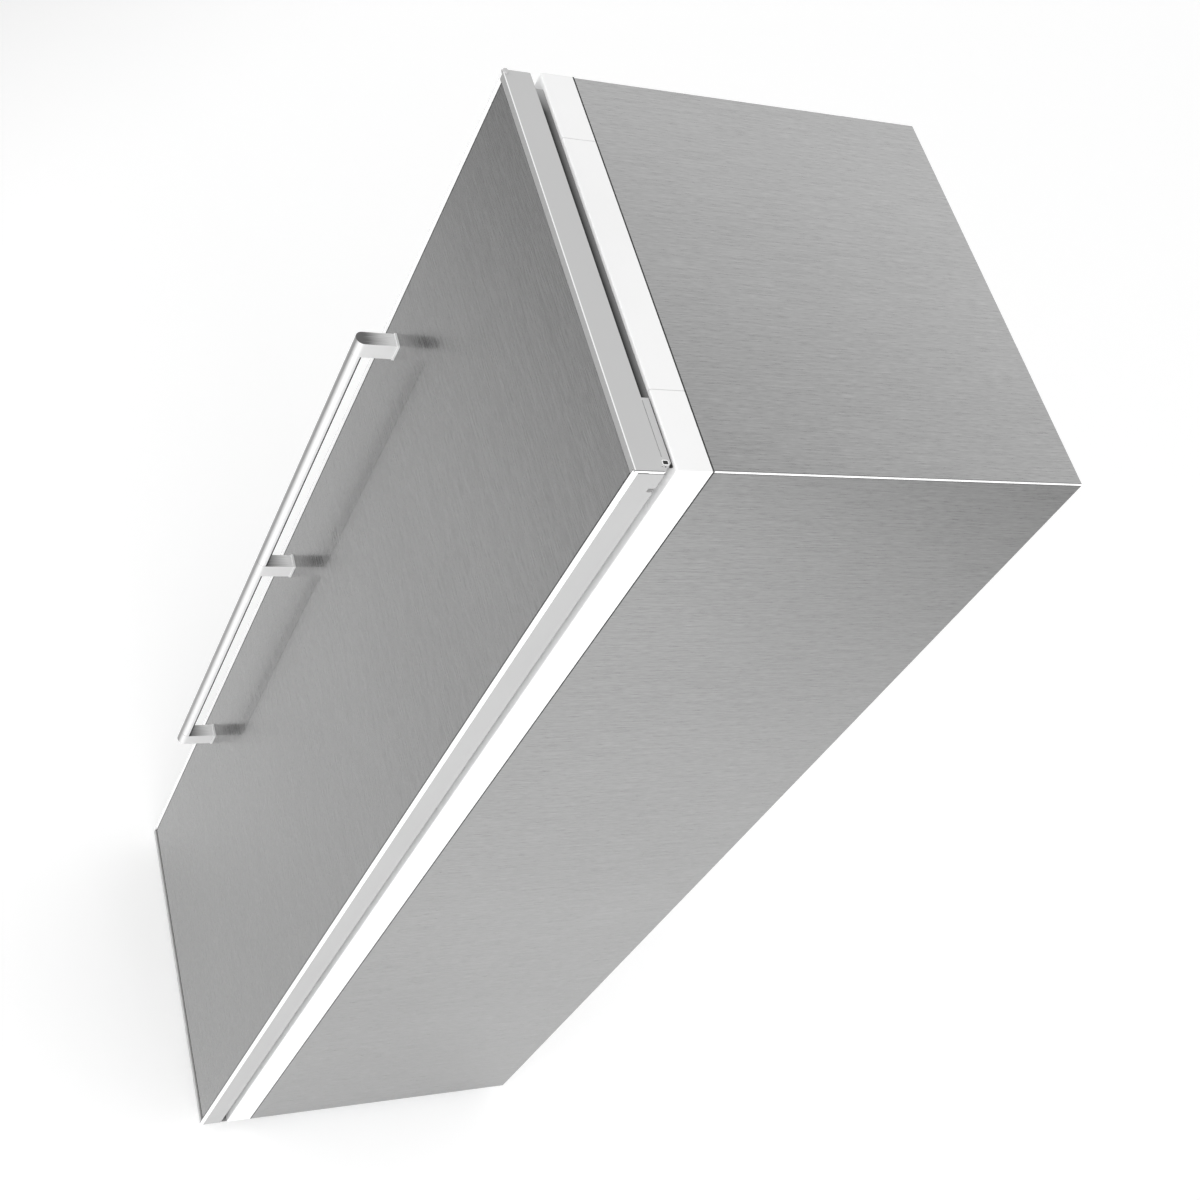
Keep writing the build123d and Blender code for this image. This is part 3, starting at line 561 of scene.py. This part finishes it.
def oval(middle, half_x, half_y, roundness, steps=6):
    """Rounded rectangle in plan, anticlockwise."""
    outline = []
    for corner, (sx, sy) in enumerate(((1, 1), (-1, 1), (-1, -1), (1, -1))):
        for step in range(steps + 1):
            angle = math.pi / 2 * (corner + step / steps)
            x = middle[0] + sx * (half_x - roundness) + roundness * math.cos(angle)
            y = middle[1] + sy * (half_y - roundness) + roundness * math.sin(angle)
            outline.append((x, y))
    return outline


def seam_shade(paint):
    """Black strip as painted shade in the groove between the white frame and the steel, all round the
    cabinet.

    Its points are four rings of four corners: outer and inner at the front, then at the back.
    """
    # painted shade: a black strip in the groove, where there is only shade
    (_, seam, _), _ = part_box("top_panel")
    (left, _, low), (right, _, high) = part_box("front_frame")
    points = []
    for y in (seam - SEAM_GROOVE, seam + SEAM_SHADE_OVERLAP):
        for inset in (-SEAM_SHADE_PROUD, SEAM_SHADE_DEEP):
            x, z = (left + inset, right - inset), (low + inset, high - inset)
            points += [(x[0], y, z[0]), (x[1], y, z[0]), (x[1], y, z[1]), (x[0], y, z[1])]
    faces = []
    for i in range(4):
        j = (i + 1) % 4
        faces.append((i, j, 4 + j, 4 + i))
        faces.append((8 + i, 12 + i, 12 + j, 8 + j))
        faces.append((i, 8 + i, 8 + j, j))
        faces.append((4 + i, 4 + j, 12 + j, 12 + i))
    solid("seam_shade", points, faces, paint, CABINET, 0.05 * MM)


def top_gap_shade():
    """Near black strip along the back of the door's top edge that fills the gap to the frame as painted
    shade, painted paler towards the frame and at its left end.
    """
    # painted shade: a near black strip set where there is only shade in the gap
    paint = rubbery("gap_shade_black", grey(0.006))
    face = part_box("front_frame")[0][1]
    back = face - DOOR_GAP
    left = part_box("door_top_cap")[0][0] + GAP_SHADE_INSET
    cover_left = HINGE_PIN_X - HINGE_COVER_REACH
    # painted light: paler towards the frame's face, as the lit frame seen down the gap
    lit_towards_frame = paint.from_to(paint.at("y"), back + 3 * MM, face)
    open_gap = paint.from_to(paint.at("x"), cover_left, cover_left - MM)
    paint.repaint(paint.both(lit_towards_frame, open_gap), grey(0.22))
    # painted light: paler towards the left end
    paint.repaint(paint.from_to(paint.at("x"), left + 40 * MM, left), grey(0.4))
    outline = [
        (left, back + 0.1 * MM),
        (cover_left - 0.4 * MM, back + 0.1 * MM),
        (cover_left - 0.4 * MM, back + 9.2 * MM),
        (HINGE_PIN_X - 1.4 * MM, back + 9.2 * MM),
        (HINGE_PIN_X + 1.5 * MM, back + 7.6 * MM),
        (HINGE_PIN_X + 1.5 * MM, face - 0.5 * MM),
        (left, face - 0.5 * MM),
    ]
    plate("door_top_gap_shade", outline, DOOR_TOP - 4.3 * MM, DOOR_TOP - 2.3 * MM, paint, DOOR, 0.2 * MM)


def hinge_slot(dark, bright):
    """Black plug as painted shade of a hole in the hinge cover, in a bright ring that is a painted
    highlight round its rim, and a small black dot beside it.
    """
    door_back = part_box("front_frame")[0][1] - DOOR_GAP
    middle = (HINGE_PIN_X - 2.5 * MM, door_back + 2.6 * MM)
    # painted highlight: a bright ring round the hole's rim
    highlight_rim = oval(middle, 3.6 * MM, 4.1 * MM, 1.8 * MM)
    plate("hinge_slot_highlight", highlight_rim, DOOR_TOP - 0.2 * MM, DOOR_TOP + 0.1 * MM, bright, DOOR, 0.04 * MM)
    # painted shade: a black plug where the hole is dark
    hole_shade = oval(middle, 2.4 * MM, 3.0 * MM, 0.9 * MM)
    plate("hinge_slot_shade", hole_shade, DOOR_TOP, DOOR_TOP + 0.2 * MM, dark, DOOR, 0.04 * MM)
    dot = oval((HINGE_PIN_X + 3.3 * MM, door_back + MM), 0.8 * MM, 0.8 * MM, 0.79 * MM)
    plate("hinge_cover_dot", dot, DOOR_TOP - 0.1 * MM, DOOR_TOP + 0.1 * MM, dark, DOOR, 0.03 * MM)


def left_trim(dark, bright):
    """Wide trim down the left of the door front, its light grey brightened by painted highlight, with a
    painted dark line of shade beside the steel.
    """
    (left, front, low), (_, _, high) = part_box("door_front_sheet")
    edges = (left - 0.2 * MM, left + LEFT_TRIM_WIDE, left + LEFT_TRIM_WIDE + LEFT_LINE_WIDE)
    # painted highlight: the bright trim; painted shade: the dark line beside the steel
    for name, near, far, paint in (
        ("left_trim", edges[0], edges[1], bright),
        ("left_trim_shade_line", edges[1], edges[2], dark),
    ):
        outline = [(near, front - 0.15 * MM), (far, front - 0.15 * MM)]
        outline += [(far, front + 0.3 * MM), (near, front + 0.3 * MM)]
        plate(name, outline, low, high, paint, DOOR, 0.04 * MM)


def add_shade_and_highlight_pieces():
    """Small pieces that the frame's solids don't have: black pieces of painted shade and bright pieces of
    painted highlight.
    """
    # black paint for the pieces of painted shade and for the dot on the hinge cover
    dark = rubbery("black_shade", grey(0.012))
    # near white paint for the pieces of painted highlight
    bright = painted("highlight_white", grey(0.9), 0.3)
    seam_shade(dark)
    top_gap_shade()
    hinge_slot(dark, bright)
    left_trim(dark, bright)


# ---------------------------------------------------------------- studio


def area_light(name, place, power):
    """Soft square light aimed at the model."""
    data = bpy.data.lights.new(name, "AREA")
    data.shape = "RECTANGLE"
    data.size = data.size_y = LIGHT_SIDE
    data.energy = power
    light = bpy.data.objects.new(name, data)
    light.location = place
    aim = Vector(LIGHT_AIM) - Vector(place)
    light.rotation_euler = aim.to_track_quat("-Z", "Y").to_euler()
    bpy.context.scene.collection.objects.link(light)


def floor_paint():
    """Pale floor that glows softly along a band through the model and fades to both sides."""
    paint = Paint("floor_white", grey(0.9), 0.9)
    across = paint.node("ShaderNodeVectorMath", operation="DOT_PRODUCT")
    paint.link(paint.place, across.inputs[0])
    across.inputs[1].default_value = (math.sqrt(0.5), math.sqrt(0.5), 0)
    away = paint.node("ShaderNodeMath", operation="ABSOLUTE")
    paint.link(across.outputs["Value"], away.inputs[0])
    fade = paint.node("ShaderNodeMapRange", interpolation_type="SMOOTHSTEP")
    fade.inputs["From Min"].default_value = FLOOR_BRIGHT_HALF
    fade.inputs["From Max"].default_value = FLOOR_DIM_FROM
    paint.link(away.outputs["Value"], fade.inputs["Value"])
    paint.tint(fade.outputs["Result"], *FLOOR_TONES)
    glow = paint.spread(fade.outputs["Result"], FLOOR_GLOW, 0.0, 0, 1)
    paint.shader.inputs["Emission Color"].default_value = (1, 1, 1, 1)
    paint.link(glow, paint.shader.inputs["Emission Strength"])
    return paint.material


def studio_world():
    """Soft surround: a bright band round the horizon under a darker ceiling."""
    world = bpy.data.worlds.new("studio")
    world.use_nodes = True
    tree = world.node_tree
    place = tree.nodes.new("ShaderNodeTexCoord")
    split = tree.nodes.new("ShaderNodeSeparateXYZ")
    tree.links.new(place.outputs["Generated"], split.inputs["Vector"])
    ramp = tree.nodes.new("ShaderNodeMapRange")
    ramp.interpolation_type = "SMOOTHSTEP"
    ramp.inputs["From Min"].default_value = CEILING_FROM
    ramp.inputs["From Max"].default_value = CEILING_TO
    ramp.inputs["To Min"].default_value = HORIZON_LIGHT
    ramp.inputs["To Max"].default_value = CEILING_LIGHT
    tree.links.new(split.outputs["Z"], ramp.inputs["Value"])
    tree.links.new(ramp.outputs["Result"], tree.nodes["Background"].inputs["Strength"])
    tree.nodes["Background"].inputs["Color"].default_value = (1, 1, 1, 1)
    bpy.context.scene.world = world


def studio():
    """Surround, floor and two lights."""
    studio_world()
    mesh = bpy.data.meshes.new("floor")
    corners = [(x * FLOOR_HALF, y * FLOOR_HALF, 0) for x, y in ((-1, -1), (1, -1), (1, 1), (-1, 1))]
    mesh.from_pydata(corners, [], [(0, 1, 2, 3)])
    floor = bpy.data.objects.new("floor", mesh)
    bpy.context.scene.collection.objects.link(floor)
    mesh.materials.append(floor_paint())
    for name, (place, power) in LIGHTS.items():
        area_light(name, place, power)
    bpy.context.scene.view_settings.view_transform = "Standard"


add_camera()
dress_nodes()
add_shade_and_highlight_pieces()
studio()
